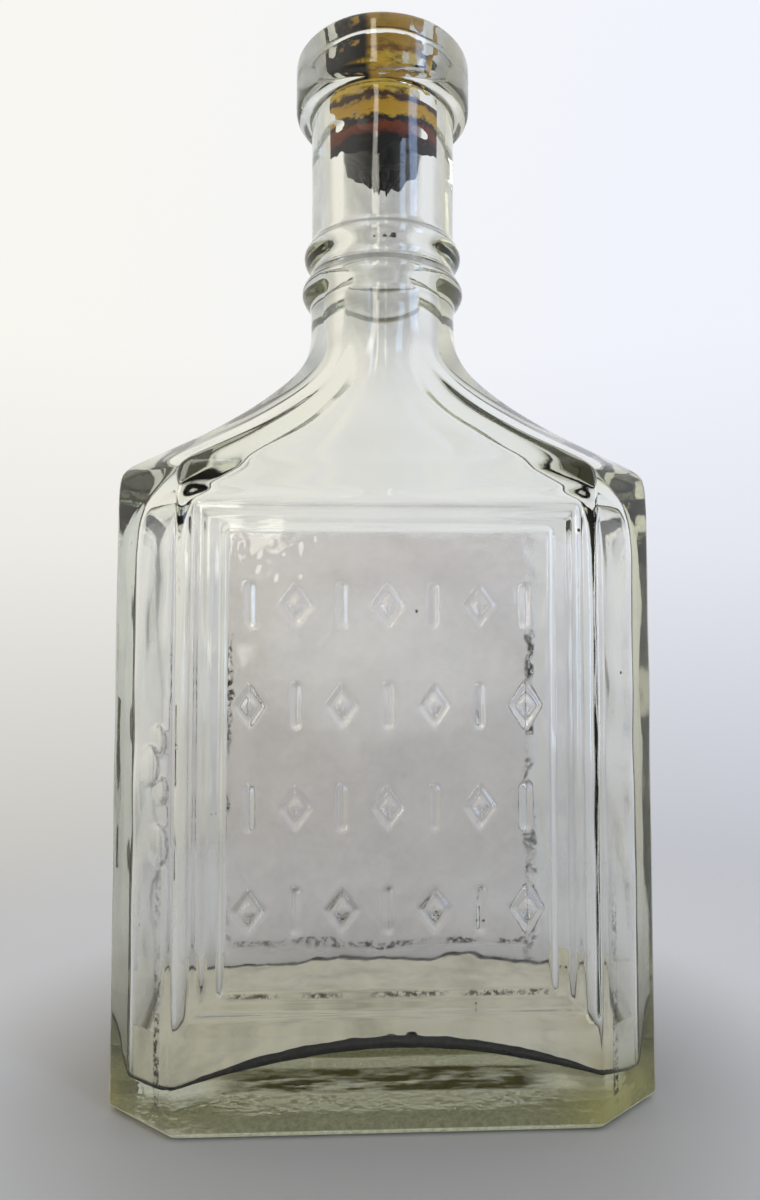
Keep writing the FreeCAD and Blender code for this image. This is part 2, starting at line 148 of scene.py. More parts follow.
def waves(points, seed, shortest, longest, count=14):
    """A smooth random field between about -1 and 1, made of sine waves of many lengths and directions."""
    rng = np.random.default_rng(seed)
    total = np.zeros(len(points))
    for _ in range(count):
        direction = rng.normal(size=3)
        direction /= np.linalg.norm(direction)
        length = shortest * (longest / shortest) ** rng.random()
        total += np.sin(points @ direction * (2 * math.pi / length) + rng.uniform(0, 2 * math.pi))
    return total / math.sqrt(count)


def rounded_box(x, z, half, low, high, corner):
    """Signed distance to an upright rectangle with rounded corners, negative inside."""
    over_x = np.abs(x) - (half - corner)
    over_z = np.abs(z - (low + high) / 2) - ((high - low) / 2 - corner)
    outside = np.hypot(np.maximum(over_x, 0), np.maximum(over_z, 0))
    return outside + np.minimum(np.maximum(over_x, over_z), 0) - corner


def new_object(name, points, faces, material, smooth=True):
    """A mesh object from points in millimetres."""
    mesh = bpy.data.meshes.new(name)
    mesh.from_pydata((np.asarray(points) * MM).tolist(), [], faces)
    mesh.validate()
    mesh.polygons.foreach_set("use_smooth", [smooth] * len(mesh.polygons))
    mesh.materials.append(material)
    piece = bpy.data.objects.new(name, mesh)
    bpy.context.scene.collection.objects.link(piece)
    return piece


# ---- the bottle's sections ---------------------------------------------------------------------------

EDGE_CELLS = (60, 6, 10, 6, 28, 6, 10, 6)  # the front, right, back and left faces, each with its next corner
ROUND_CELLS = 3
FINE = 3  # fine steps in one coarse cell
COLUMNS = (sum(EDGE_CELLS) + ROUND_CELLS * 8) * FINE
MAIN_ARC = math.radians(25.0)
CORNER_ARC = math.radians(16.0)


def ellipse_angles():
    """The angle on a round section of each column, in step with the columns of a straight-sided one."""
    angles = []
    for k, cells in enumerate(EDGE_CELLS):
        centre = math.radians(-90.0 + 45.0 * k)
        half = MAIN_ARC if k % 2 == 0 else CORNER_ARC
        gap = math.radians(45.0) - MAIN_ARC - CORNER_ARC
        angles.append(np.linspace(centre - half, centre + half, cells * FINE, endpoint=False))
        angles.append(np.linspace(centre + half, centre + half + gap, ROUND_CELLS * FINE, endpoint=False))
    return np.concatenate(angles)


ANGLES = ellipse_angles()


def straight_section(half_x, half_y, cut_x, cut_y, radius):
    """Points round a rectangle with cut corners and rounded edges, one for each column."""
    in_x, in_y = half_x - cut_x, half_y - cut_y
    corners = [Vector(c) for c in ((in_x, -half_y), (half_x, -in_y), (half_x, in_y), (in_x, half_y),
                                   (-in_x, half_y), (-half_x, in_y), (-half_x, -in_y), (-in_x, -half_y))]
    points = []
    for k, cells in enumerate(EDGE_CELLS):
        before, here, after = corners[k - 1], corners[k], corners[(k + 1) % 8]
        along, onward = (here - before).normalized(), (after - here).normalized()
        turn = along.angle(onward)
        came_from = (before - corners[k - 2]).normalized()
        start = before + along * radius * math.tan(came_from.angle(along) / 2)
        end = here - along * radius * math.tan(turn / 2)
        for i in range(cells * FINE):
            points.append(start.lerp(end, i / (cells * FINE)))
        inward = Vector((-along.y, along.x))
        centre = end + inward * radius
        for i in range(ROUND_CELLS * FINE):
            a = turn * i / (ROUND_CELLS * FINE)
            points.append(centre - inward * radius * math.cos(a) + along * radius * math.sin(a))
    return np.array(points)


def section(half_x, half_y, cuts, radius, roundness):
    """A section between the straight-sided shape (roundness 0) and an ellipse (roundness 1)."""
    oval = np.column_stack((half_x * np.cos(ANGLES), half_y * np.sin(ANGLES)))
    if roundness >= 1.0:
        return oval
    return (1 - roundness) * straight_section(half_x, half_y, *cuts, radius) + roundness * oval


def ring(plan, z):
    """A ring of points from a plan and a height, which may differ from column to column."""
    return np.column_stack((plan, np.broadcast_to(z, len(plan))))


def shoulder_half_width(z):
    """Half the shoulder's width: a tight arc beside the neck, then a long shallow one to the corner."""
    bend_x = NECK_RADIUS + SHOULDER_ARC * (1 - math.cos(SHOULDER_TURN))
    bend_z = SHOULDER_HIGH - SHOULDER_ARC * math.sin(SHOULDER_TURN)
    if z >= bend_z:
        return NECK_RADIUS + SHOULDER_ARC - math.sqrt(SHOULDER_ARC**2 - (SHOULDER_HIGH - z) ** 2)
    sag = math.hypot(HALF_WIDTH - bend_x, bend_z - SHOULDER_LOW) ** 2 / (8 * SHOULDER_SWEEP)
    share = (bend_z - z) / (bend_z - SHOULDER_LOW)
    return bend_x + (HALF_WIDTH - bend_x) * share - 6 * sag * share * (1 - share)


def shoulder_half_depth(z):
    """Half the shoulder's depth, which opens out from the neck to the faces."""
    share = (SHOULDER_HIGH - z) / (SHOULDER_HIGH - SHOULDER_LOW)
    return NECK_RADIUS + (HALF_DEPTH - NECK_RADIUS) * share**DEPTH_POWER


def shoulder_place(z, softness):
    """A height kept between the shoulder's ends, with a soft turn at the lower one."""
    rise = z - SHOULDER_LOW
    return min(SHOULDER_LOW + (rise + math.hypot(rise, softness)) / 2, SHOULDER_HIGH)


def outer_section(z):
    """The outer section at a height from the heel to the foot of the neck."""
    height = shoulder_place(z, SHOULDER_SOFTNESS)
    share = (height - SHOULDER_LOW) / (SHOULDER_HIGH - SHOULDER_LOW)
    cuts = [cut * (1 - share) + NECK_CUT * share for cut in CHAMFER]
    half_x, half_y = shoulder_half_width(height), shoulder_half_depth(height)
    return section(half_x, half_y, cuts, EDGE_ROUND, share**SHOULDER_ROUNDING)


def hollow_section(z):
    """The hollow's section at a height from the floor to the foot of the bore."""
    outer = shoulder_place(z + WALL_TOP, HOLLOW_SOFTNESS) if z < HOLLOW_TOP else SHOULDER_HIGH
    share = (outer - SHOULDER_LOW) / (SHOULDER_HIGH - SHOULDER_LOW)
    neck_wall = NECK_RADIUS - BORE_FOOT
    half_x = shoulder_half_width(outer) - (WALL_SIDE + (neck_wall - WALL_SIDE) * share)
    half_y = shoulder_half_depth(outer) - (WALL_FRONT + (neck_wall - WALL_FRONT) * share)
    cuts = [cut * (1 - share) + BORE_CUT * share for cut in HOLLOW_CUT]
    return section(half_x, half_y, cuts, HOLLOW_ROUND * (1 - 0.7 * share), share**HOLLOW_ROUNDING)


def floor_height(plan):
    """Height of the arched floor inside, highest along its middle and level beside the arch."""
    half = ARCH_HALF[0] + (ARCH_HALF[1] - ARCH_HALF[0]) * smoothstep(*ARCH_WIDENS, plan[:, 1])
    rise = (FLOOR_HIGH - FLOOR_LOW) * (1 - ((plan[:, 0] - ARCH_MIDDLE) / half) ** 2)
    return FLOOR_LOW + (rise + np.hypot(rise, ARCH_SOFTNESS)) / 2


def bore_radius(z):
    """Radius of the bore, which opens a little towards the mouth."""
    low, high = HOLLOW_TOP, HEIGHT - MOUTH_ROUND
    return BORE_FOOT + (BORE_MOUTH - BORE_FOOT) * (z - low) / (high - low)


def neck_radius(z):
    """Outer radius of the neck with its two rings."""
    radius = NECK_RADIUS
    for at, bulge in RINGS:
        away = min(abs(z - at) / (bulge * RING_HALF_HEIGHT), 1)
        radius += bulge * math.cos(away * math.pi / 2) ** RING_SHARPNESS
    return radius


# ---- the bottle's rings, from the middle of the base, over the lip and down to the floor inside --------

RINGS_END = RINGS[1][0] + 4.0  # where the neck is plain again
RING_SPACING = 1.3  # a power: how much closer the shoulder's rings are at its low end


def foot_ring(t):
    """Under the base: a shallow hollow and the resting rim."""
    scale = CENTRE + t * (1 - CENTRE)
    plan = section(HALF_WIDTH - HEEL_ROUND, HALF_DEPTH - HEEL_ROUND, CHAMFER, EDGE_ROUND, 0.0)
    return ring(plan * scale, FOOT_SINK * float(1 - smoothstep(*FOOT_RIM, np.float64(scale))))


def heel_ring(t):
    """The rounded edge between the base and the walls."""
    inset = HEEL_ROUND * (1 - math.sin(t * math.pi / 2))
    z = HEEL_ROUND * (1 - math.cos(t * math.pi / 2))
    return ring(section(HALF_WIDTH - inset, HALF_DEPTH - inset, CHAMFER, EDGE_ROUND, 0.0), z)


def body_ring(t):
    """The straight walls."""
    z = HEEL_ROUND + (SHOULDER_START - HEEL_ROUND) * t
    return ring(outer_section(z), z)


def shoulder_ring(t):
    """The shoulder, with closer rings low down."""
    z = SHOULDER_START + (SHOULDER_HIGH - SHOULDER_START) * t**RING_SPACING
    return ring(outer_section(z), z)


def round_ring(radius, z):
    """A round ring."""
    return ring(section(radius, radius, None, 0, 1.0), z)


def ringed_neck_ring(t):
    """The lower neck, with its two raised rings."""
    z = SHOULDER_HIGH + (RINGS_END - SHOULDER_HIGH) * t
    return round_ring(neck_radius(z), z)


def plain_neck_ring(t):
    """The upper neck, up to the fillet under the lip."""
    high = HEIGHT - LIP_HEIGHT - LIP_FOOT_ROUND
    return round_ring(NECK_RADIUS, RINGS_END + (high - RINGS_END) * t)


def lip_profile():
    """Radius and height along the lip, from the neck up to the bore."""
    low = HEIGHT - LIP_HEIGHT
    quarter = np.linspace(0, math.pi / 2, 6)
    points = [(NECK_RADIUS + LIP_FOOT_ROUND * (1 - math.cos(a)), low - LIP_FOOT_ROUND * (1 - math.sin(a)))
              for a in quarter]
    points += [(LIP_RADIUS - LIP_UNDER_ROUND * (1 - math.sin(a)), low + LIP_UNDER_ROUND * (1 - math.cos(a)))
               for a in quarter]
    side_low, side_high = low + LIP_UNDER_ROUND, HEIGHT - LIP_ROUND
    points += [(LIP_RADIUS, side_low + (side_high - side_low) * t) for t in (0.2, 0.4, 0.6, 0.8)]
    points += [(LIP_RADIUS - LIP_ROUND * (1 - math.cos(a)), side_high + LIP_ROUND * math.sin(a))
               for a in quarter]
    points += [(LIP_RADIUS - LIP_ROUND - 1.6, HEIGHT), (LIP_RADIUS - LIP_ROUND - 3.2, HEIGHT)]
    points += [(BORE_MOUTH + MOUTH_ROUND * (1 - math.sin(a)), HEIGHT - MOUTH_ROUND * (1 - math.cos(a)))
               for a in quarter]
    return np.array(points)


LIP = lip_profile()


def lip_ring(t):
    """The lip, up its side and over to the bore."""
    at = t * (len(LIP) - 1)
    radius = np.interp(at, np.arange(len(LIP)), LIP[:, 0])
    return round_ring(radius, np.interp(at, np.arange(len(LIP)), LIP[:, 1]))


def bore_ring(t):
    """The bore, down from the mouth."""
    high, low = HEIGHT - MOUTH_ROUND, HOLLOW_TOP
    z = high + (low - high) * t
    return round_ring(bore_radius(z), z)


def hollow_shoulder_ring(t):
    """The hollow under the shoulder, with closer rings low down."""
    z = HOLLOW_TOP + (HOLLOW_BEND - HOLLOW_TOP) * (1 - (1 - t) ** RING_SPACING)
    return ring(hollow_section(z), z)


def hollow_body_ring(t):
    """The hollow's straight walls."""
    plan = hollow_section(HOLLOW_BEND)
    return ring(plan, HOLLOW_BEND + (floor_height(plan) + FLOOR_FILLET - HOLLOW_BEND) * t)


def floor_fillet_ring(t):
    """The rounded corner between the hollow's walls and its floor."""
    plan = hollow_section(HOLLOW_BEND)
    inset = FLOOR_FILLET * (1 - math.cos(t * math.pi / 2))
    drop = FLOOR_FILLET * (1 - math.sin(t * math.pi / 2))
    inner = plan * (1 - inset / np.hypot(plan[:, 0], plan[:, 1]))[:, None]
    return ring(inner, floor_height(inner) + drop)


def floor_ring(t):
    """The arched floor inside, from its rim to its middle."""
    rim = floor_fillet_ring(1.0)
    plan = rim[:, :2] * (1 - (1 - CENTRE) * t)
    return ring(plan, floor_height(plan))


# each stretch of the outline and its number of coarse cells
STRETCHES = ((foot_ring, 10), (heel_ring, 4), (body_ring, 90), (shoulder_ring, 34), (ringed_neck_ring, 36),
             (plain_neck_ring, 12), (lip_ring, 30), (bore_ring, 34), (hollow_shoulder_ring, 40),
             (hollow_body_ring, 44), (floor_fillet_ring, 5), (floor_ring, 11))


def bottle_grid():
    """Every fine ring of the bottle, and the fine row where each stretch starts."""
    rows, starts = [], {}
    for make, cells in STRETCHES:
        starts[make] = len(rows)
        rows += [make(i / (cells * FINE)) for i in range(cells * FINE)]
    rows.append(floor_ring(1.0))
    return np.array(rows), starts


# ---- relief on the front ------------------------------------------------------------------------------


def motif_relief(x, z):
    """Height of the raised lozenges and bars."""
    relief = np.zeros_like(x)
    for row in range(MOTIF_ROWS):
        for column in range(MOTIF_COLUMNS):
            dx = x - (column - (MOTIF_COLUMNS - 1) / 2) * MOTIF_PITCH[0]
            dz = z - MOTIF_LOW - row * MOTIF_PITCH[1]
            if (row + column) % 2 == 0:
                across, up = MOTIF_HALF
                steepness = across * up / math.hypot(across, up)
                distance = (np.abs(dx) / across + np.abs(dz) / up - 1) * steepness + MOTIF_LINE
            else:
                distance = np.hypot(dx, np.maximum(np.abs(dz) - MOTIF_HALF[1] + MOTIF_LINE, 0))
            relief = np.maximum(relief, lump(distance, MOTIF_LINE * 1.25))
    return relief * MOTIF_RELIEF


def front_sink(x, z):
    """How far the front surface lies under the plain face."""
    frame_edge = rounded_box(x, z, *FRAME, FRAME_CORNER)
    panel_edge = rounded_box(x, z, *PANEL, PANEL_CORNER)
    sink = FRAME_SINK * smoothstep(FRAME_SLOPE, -FRAME_SLOPE, frame_edge)
    sink += PANEL_SINK * smoothstep(PANEL_SLOPE, -PANEL_SLOPE, panel_edge)
    sink -= BEAD_HEIGHT * lump(frame_edge + BEAD_INSET, BEAD_HALF_WIDTH)
    flat = np.column_stack((x, np.zeros_like(x), z))
    uneven = 0.85 + 0.15 * waves(flat, 11, 4, 12)
    sink -= motif_relief(x, z) * uneven
    near_top = smoothstep(PANEL[2] - 14, PANEL[2] - 2, z) * smoothstep(4, 14, np.abs(x))
    inside = smoothstep(0, -2, panel_edge)
    hammered = waves(flat, 5, 1.6, 3.0, 24) * near_top + 0.25 * waves(flat, 6, 2.0, 5.0, 24)
    return sink + HAMMERED * hammered * inside


def chip_middle(z, share):
    """The centre of a bruise, a share of the way across the left front chamfer."""
    return -HALF_WIDTH + CHAMFER[0] * share, -HALF_DEPTH + CHAMFER[1] * (1 - share), z


def chip_depth(points):
    """Small bruises on the left front corner: how deep each point lies in one."""
    depth = np.zeros(len(points))
    for z, share, radius in CHIPS:
        away = np.linalg.norm((points - chip_middle(z, share)) * CHIP_STRETCH, axis=1)
        depth = np.maximum(depth, CHIP_DEPTH * np.clip(1 - (away / radius) ** 2, 0, 1) ** 0.6)
    return depth


def make_bottle(material):
    """The bottle as one closed surface, with fine cells only where the front and the chips need them."""
    grid, starts = bottle_grid()
    rows = len(grid)
    front = EDGE_CELLS[0] * FINE
    first_chip_column = COLUMNS - (EDGE_CELLS[7] + ROUND_CELLS) * FINE
    body_rows = slice(starts[body_ring], starts[shoulder_ring])
    face = grid[body_rows, :front]
    face[..., 1] += front_sink(face[..., 0].ravel(), face[..., 2].ravel()).reshape(face.shape[:2])

    def fine(row, column):
        """Whether the coarse cell at a fine row and column is drawn in fine cells."""
        if not body_rows.start <= row < body_rows.stop:
            return False
        x, z = grid[row, column, 0], grid[row, column, 2]
        in_frame = abs(x) < FRAME[0] + FRAME_SLOPE and FRAME[1] - FRAME_SLOPE < z < FRAME[2] + FRAME_SLOPE
        on_chips = column >= first_chip_column and CHIP_HEIGHTS[0] < z < CHIP_HEIGHTS[1]
        return bool(column < front and in_frame or on_chips)

    used, faces = {}, []

    def vertex(row, column):
        """The number of the mesh vertex at a fine row and column."""
        return used.setdefault((row, column % COLUMNS), len(used))

    for row in range(0, rows - 1, FINE):
        for column in range(0, COLUMNS, FINE):
            if fine(row, column):
                for r in range(row, row + FINE):
                    for c in range(column, column + FINE):
                        corners = ((r, c), (r, c + 1), (r + 1, c + 1), (r + 1, c))
                        faces.append([vertex(*corner) for corner in corners])
                continue
            below = row > 0 and fine(row - FINE, column)
            above = row + FINE < rows - 1 and fine(row + FINE, column)
            left, right = fine(row, (column - FINE) % COLUMNS), fine(row, (column + FINE) % COLUMNS)
            loop = [vertex(row, column + i) for i in range(0, FINE, 1 if below else FINE)]
            loop += [vertex(row + i, column + FINE) for i in range(0, FINE, 1 if right else FINE)]
            loop += [vertex(row + FINE, column + FINE - i) for i in range(0, FINE, 1 if above else FINE)]
            loop += [vertex(row + FINE - i, column) for i in range(0, FINE, 1 if left else FINE)]
            faces.append(loop)
    faces.append([vertex(0, c) for c in range(0, COLUMNS, FINE)][::-1])
    faces.append([vertex(rows - 1, c) for c in range(0, COLUMNS, FINE)])

    keys = np.array(list(used))
    points = grid[keys[:, 0], keys[:, 1]]
    inside = keys[:, 0] >= starts[bore_ring]
    bottle = new_object("bottle_glass", points, faces, material)
    make_wavy(bottle, points, inside)
    return bottle


def make_wavy(bottle, points, inside):
    """Moves the surface a little along its normals: soft waves outside, larger ones inside, and the chips."""
    mesh = bottle.data
    normals = np.zeros(len(points) * 3)
    mesh.vertices.foreach_get("normal", normals)
    normals = normals.reshape(-1, 3)
    height = points[:, 2]
    in_body = smoothstep(0.0, 4.0, height) * smoothstep(SHOULDER_HIGH + 4, SHOULDER_HIGH - 8, height)
    above_foot = smoothstep(0.5, 3.0, height)
    under_cork = smoothstep(CORK_BOTTOM - 2, CORK_BOTTOM - 16, height)
    above_floor = smoothstep(0.5, 26.0, height - floor_height(points))
    outer_move = np.minimum(0.035 * waves(points, 1, 7, 30) - 0.06, 0.0) * above_foot - chip_depth(points)
    inner_move = (0.06 + 0.08 * in_body) * waves(points, 2, 9, 34) * under_cork * above_floor
    move = np.where(inside, inner_move, outer_move)
    moved = (points + normals * move[:, None]) * MM
    mesh.vertices.foreach_set("co", moved.ravel())
    mesh.update()


# ---- cork, crust and residue --------------------------------------------------------------------------


def turned_piece(name, profile, columns, material, shift):
    """A closed turned piece from a profile of radius and height, with each point moved by shift."""
    angles = np.linspace(0, 2 * math.pi, columns, endpoint=False)
    points = np.array([(r * math.cos(a), r * math.sin(a), z) for r, z in profile for a in angles])
    points = shift(points)
    faces = []
    for row in range(len(profile) - 1):
        for i in range(columns):
            j = (i + 1) % columns
            low, high = row * columns, (row + 1) * columns
            faces.append([low + i, low + j, high + j, high + i])
    faces.append(list(range(columns))[::-1])
    faces.append(list(range(len(points) - columns, len(points))))
    return new_object(name, points, faces, material)


def around(points):
    """Degrees round from the front of each point, positive to the right."""
    return np.degrees(np.arctan2(points[:, 0], -points[:, 1]))


def make_cork(material):
    """The cork: pressed against the bore in front, short of it elsewhere, with a worn rim and lower end."""
    profile = [(bore_radius(CORK_BOTTOM) * t, CORK_BOTTOM) for t in np.linspace(0.05, 0.97, 12)]
    profile += [(bore_radius(z) + CORK_PRESS, z) for z in np.linspace(CORK_BOTTOM + 0.15, CORK_TOP - 0.3, 90)]
    profile += [(bore_radius(CORK_TOP) * t, CORK_TOP) for t in np.linspace(0.95, 0.05, 12)]

    def wear(points):
        """Shrinks the cork where it doesn't touch the glass, and crumbles its rim and lower edge."""
        angle = around(points)
        z = points[:, 2]
        radius = np.hypot(points[:, 0], points[:, 1])
        side = smoothstep(2.5, 5.5, radius)
        # it touches the glass in front only, and even there not in some patches or high up on the right
        apart = smoothstep(72, 84, np.abs(angle))
        apart = np.maximum(apart, smoothstep(0.75, 1.0, waves(points, 24, 2.4, 6.0, 20)))
        right_top = smoothstep(26, 34, angle) * smoothstep(153.6, 154.6, z)
        apart = np.maximum(apart, right_top * smoothstep(-0.6, -0.2, waves(points, 25, 2.0, 5.0)))
        pits = np.clip(waves(points, 21, 1.2, 3.5, 26) - 0.9, 0, 1.2)
        # the lower edge is ragged and eaten away
        lower_edge = CORK_BOTTOM + 0.9 + 0.7 * waves(points * (1, 1, 0), 26, 1.6, 4.5, 20)
        inward = side * (apart * (0.14 + 0.25 * pits) + CORK_PRESS * apart)
        inward += side * 2.5 * smoothstep(lower_edge + 0.3, lower_edge - 0.9, z)
        worn = points.copy()
        worn[:, :2] *= (1 - inward / np.maximum(radius, 0.5))[:, None]
        crumble = 0.35 * np.clip(waves(points, 23, 1.5, 4.0, 20), 0, 1.5)
        worn[:, 2] -= crumble * smoothstep(CORK_TOP - 0.6, CORK_TOP, z)
        return worn

    return turned_piece("cork_body", profile, 144, material, wear)


def make_crust(material):
    """The black crust: a ragged cap under the cork with one drip."""
    rim = [(CRUST_RADIUS * t, 0.0) for t in np.linspace(0.03, 1.0, 26)]
    profile = rim + [(CRUST_RADIUS * 1.02, 0.5), (CRUST_RADIUS, 1.0)]
    profile += [(CRUST_RADIUS * t, 1.0) for t in np.linspace(0.9, 0.05, 6)]

    def hang(points):
        """Lets the lower side sag raggedly, with a drip in front on the left."""
        reach = np.hypot(points[:, 0], points[:, 1]) / CRUST_RADIUS
        ragged = 1.0 + 1.3 * waves(points * (1, 1, 0), 31, 0.9, 2.6, 24)
        drip = 3.3 * lump(np.hypot(points[:, 0] + 1.4, points[:, 1] + 2.4), 0.8)
        deep = np.clip((1 - reach**2) * ragged + drip, 0.05, CORK_BOTTOM - CRUST_BOTTOM - 0.05)
        moved = points.copy()
        moved[:, 2] = np.where(points[:, 2] < 0.9, CORK_BOTTOM - deep * (1 - points[:, 2]), CORK_BOTTOM)
        return moved

    return turned_piece("crust_mass", profile, 96, material, hang)


def make_residue(material):
    """The dried ring in the corner of wall and floor: thick in front, thin at the sides and back."""
    plan = hollow_section(HOLLOW_BEND)
    along = np.roll(plan, -1, axis=0) - np.roll(plan, 1, axis=0)
    inward = np.column_stack((-along[:, 1], along[:, 0])) / np.hypot(along[:, 0], along[:, 1])[:, None]
    front = smoothstep(-13, -15, plan[:, 1]) * smoothstep(33, 16, np.abs(plan[:, 0] - ARCH_MIDDLE))
    line = np.column_stack((plan, floor_height(plan) - 0.3 * front))
    tall = 0.26 + 0.86 * front + 0.06 * waves(line, 41, 1.2, 5.0, 20)
    tall += 0.12 * smoothstep(10, 15, plan[:, 1]) * np.clip(waves(line, 42, 2, 6), 0, 1.5)
    # the ring's outline, away from the wall and up from the floor, as shares of its height
    outline = ((-0.10, -0.30), (1.2, -0.25), (0.75, 0.30), (0.35, 0.75), (0.10, 0.97), (-0.05, 1.0))
    sides = len(outline)
    points, faces = [], []
    for i in range(len(plan)):
        for away, up in outline:
            points.append((*(plan[i] + inward[i] * away * min(tall[i], 1.0)), line[i, 2] + up * tall[i]))
    for i in range(len(plan)):
        j = (i + 1) % len(plan)
        for k in range(sides):
            m = (k + 1) % sides
            faces.append([i * sides + k, j * sides + k, j * sides + m, i * sides + m])
    return new_object("residue_ring", points, faces, material)


# ---- materials ----------------------------------------------------------------------------------------

BACK_WALL = (14.2, 17.2)  # depths between which the inside of the back wall lies
CORK_BANDS = (  # height, colour
    (147.2, (0.003, 0.002, 0.002)), (147.9, (0.20, 0.030, 0.004)), (149.3, (0.30, 0.055, 0.006)),
    (149.8, (0.02, 0.008, 0.004)), (150.4, (0.02, 0.008, 0.004)), (150.9, (0.90, 0.52, 0.035)),
    (152.8, (0.82, 0.44, 0.035)), (153.3, (0.07, 0.025, 0.006)), (154.3, (0.12, 0.045, 0.008)),
    (155.0, (0.95, 0.60, 0.05)), (156.8, (0.95, 0.70, 0.15)), (157.4, (0.28, 0.12, 0.02)),
    (158.0, (0.95, 0.62, 0.06)), (159.6, (0.92, 0.56, 0.06)), (160.3, (0.40, 0.16, 0.02)),
    (161.6, (0.80, 0.46, 0.06)))


def new_material(name):
    """An empty node material and its tree."""
    material = bpy.data.materials.new(name)
    material.use_nodes = True
    material.node_tree.nodes.clear()
    return material, material.node_tree


def add(tree, kind, inputs=None, **settings):
    """A node; each input is a constant or another node's output."""
    node = tree.nodes.new(kind)
    for key, value in settings.items():
        setattr(node, key, value)
    for key, value in (inputs or {}).items():
        if isinstance(value, bpy.types.NodeSocket):
            tree.links.new(value, node.inputs[key])
        else:
            node.inputs[key].default_value = value
    return node


def maths(tree, operation, *values):
    """The result of a Math node."""
    return add(tree, "ShaderNodeMath", dict(enumerate(values)), operation=operation).outputs[0]


def ramp(tree, value, low, high, to_low=0.0, to_high=1.0):
    """A smooth step from to_low to to_high as the value goes from low to high."""
    node = add(tree, "ShaderNodeMapRange", {0: value, 1: low, 2: high, 3: to_low, 4: to_high},
               interpolation_type="SMOOTHSTEP")
    return node.outputs[0]


def noise(tree, vector, size, detail=4.0, roughness=0.55, distortion=0.0):
    """Noise whose features are about size millimetres across."""
    node = add(tree, "ShaderNodeTexNoise", {"Vector": vector, "Scale": 1 / (size * MM), "Detail": detail,
                                            "Roughness": roughness, "Distortion": distortion})
    return node.outputs["Fac"]


def blend(tree, share, first, second):
    """A colour between two."""
    node = add(tree, "ShaderNodeMix", {"Factor": share}, data_type="RGBA")
    for key, value in (("A", first), ("B", second)):
        socket = next(s for s in node.inputs if s.name == key and s.type == "RGBA")
        if isinstance(value, bpy.types.NodeSocket):
            tree.links.new(value, socket)
        else:
            socket.default_value = (*value, 1.0)
    return next(s for s in node.outputs if s.type == "RGBA")


def place(tree):
    """Object position, and its three parts in millimetres."""
    position = add(tree, "ShaderNodeTexCoord").outputs["Object"]
    scaled = vector_maths(tree, "SCALE", position, Scale=1 / MM)
    parts = add(tree, "ShaderNodeSeparateXYZ", {0: scaled})
    return position, parts.outputs[0], parts.outputs[1], parts.outputs[2]


def fill_ramp(node, stops):
    """Sets a colour ramp's stops from pairs of place and colour."""
    elements = node.color_ramp.elements
    while len(elements) < len(stops):
        elements.new(0.5)
    for element, (at, colour) in zip(elements, stops):
        element.position, element.color = at, (*colour, 1.0)


def vector_maths(tree, operation, *values, **named):
    """The result of a Vector Math node."""
    inputs = dict(enumerate(values))
    return add(tree, "ShaderNodeVectorMath", {**inputs, **named}, operation=operation).outputs[0]


def bumped(tree, height, strength, distance):
    """A normal with relief; distance is in millimetres."""
    node = add(tree, "ShaderNodeBump", {"Height": height, "Strength": strength, "Distance": distance * MM})
    return node.outputs[0]


def between(tree, value, low, high, soft):
    """1 between low and high, falling to 0 over soft on both sides."""
    return maths(tree, "MULTIPLY", ramp(tree, value, low - soft, low), ramp(tree, value, high + soft, high))


def product(tree, *values):
    """All the values multiplied together."""
    total = values[0]
    for value in values[1:]:
        total = maths(tree, "MULTIPLY", total, value)
    return total


def coat(tree, below, share, **settings):
    """Another Principled layer over a shader, showing by its share."""
    inputs = {key.replace("_", " "): value for key, value in settings.items()}
    layer = add(tree, "ShaderNodeBsdfPrincipled", inputs)
    return add(tree, "ShaderNodeMixShader", {0: share, 1: below, 2: layer.outputs[0]}).outputs[0]


def chip_distance(tree, position, middle):
    """The distance in millimetres from a point near a bruise, shortened upright as chip_depth shortens it."""
    offset = vector_maths(tree, "SUBTRACT", position, [value * MM for value in middle])
    offset = vector_maths(tree, "MULTIPLY", offset, [value / MM for value in CHIP_STRETCH])
    return add(tree, "ShaderNodeVectorMath", {0: offset}, operation="LENGTH").outputs["Value"]


def chip_rims(tree, position):
    """1 in the crescent along the right edge of each bruise."""
    rims = 0.0
    for height, share, radius in CHIPS:
        x, y, z = chip_middle(height, share)
        inside = ramp(tree, chip_distance(tree, position, (x, y, z)), radius + 0.1, radius - 0.2)
        past = ramp(tree, chip_distance(tree, position, (x - 0.9, y, z)), radius - 0.3, radius + 0.1)
        rims = maths(tree, "MAXIMUM", rims, maths(tree, "MULTIPLY", inside, past))
    return rims


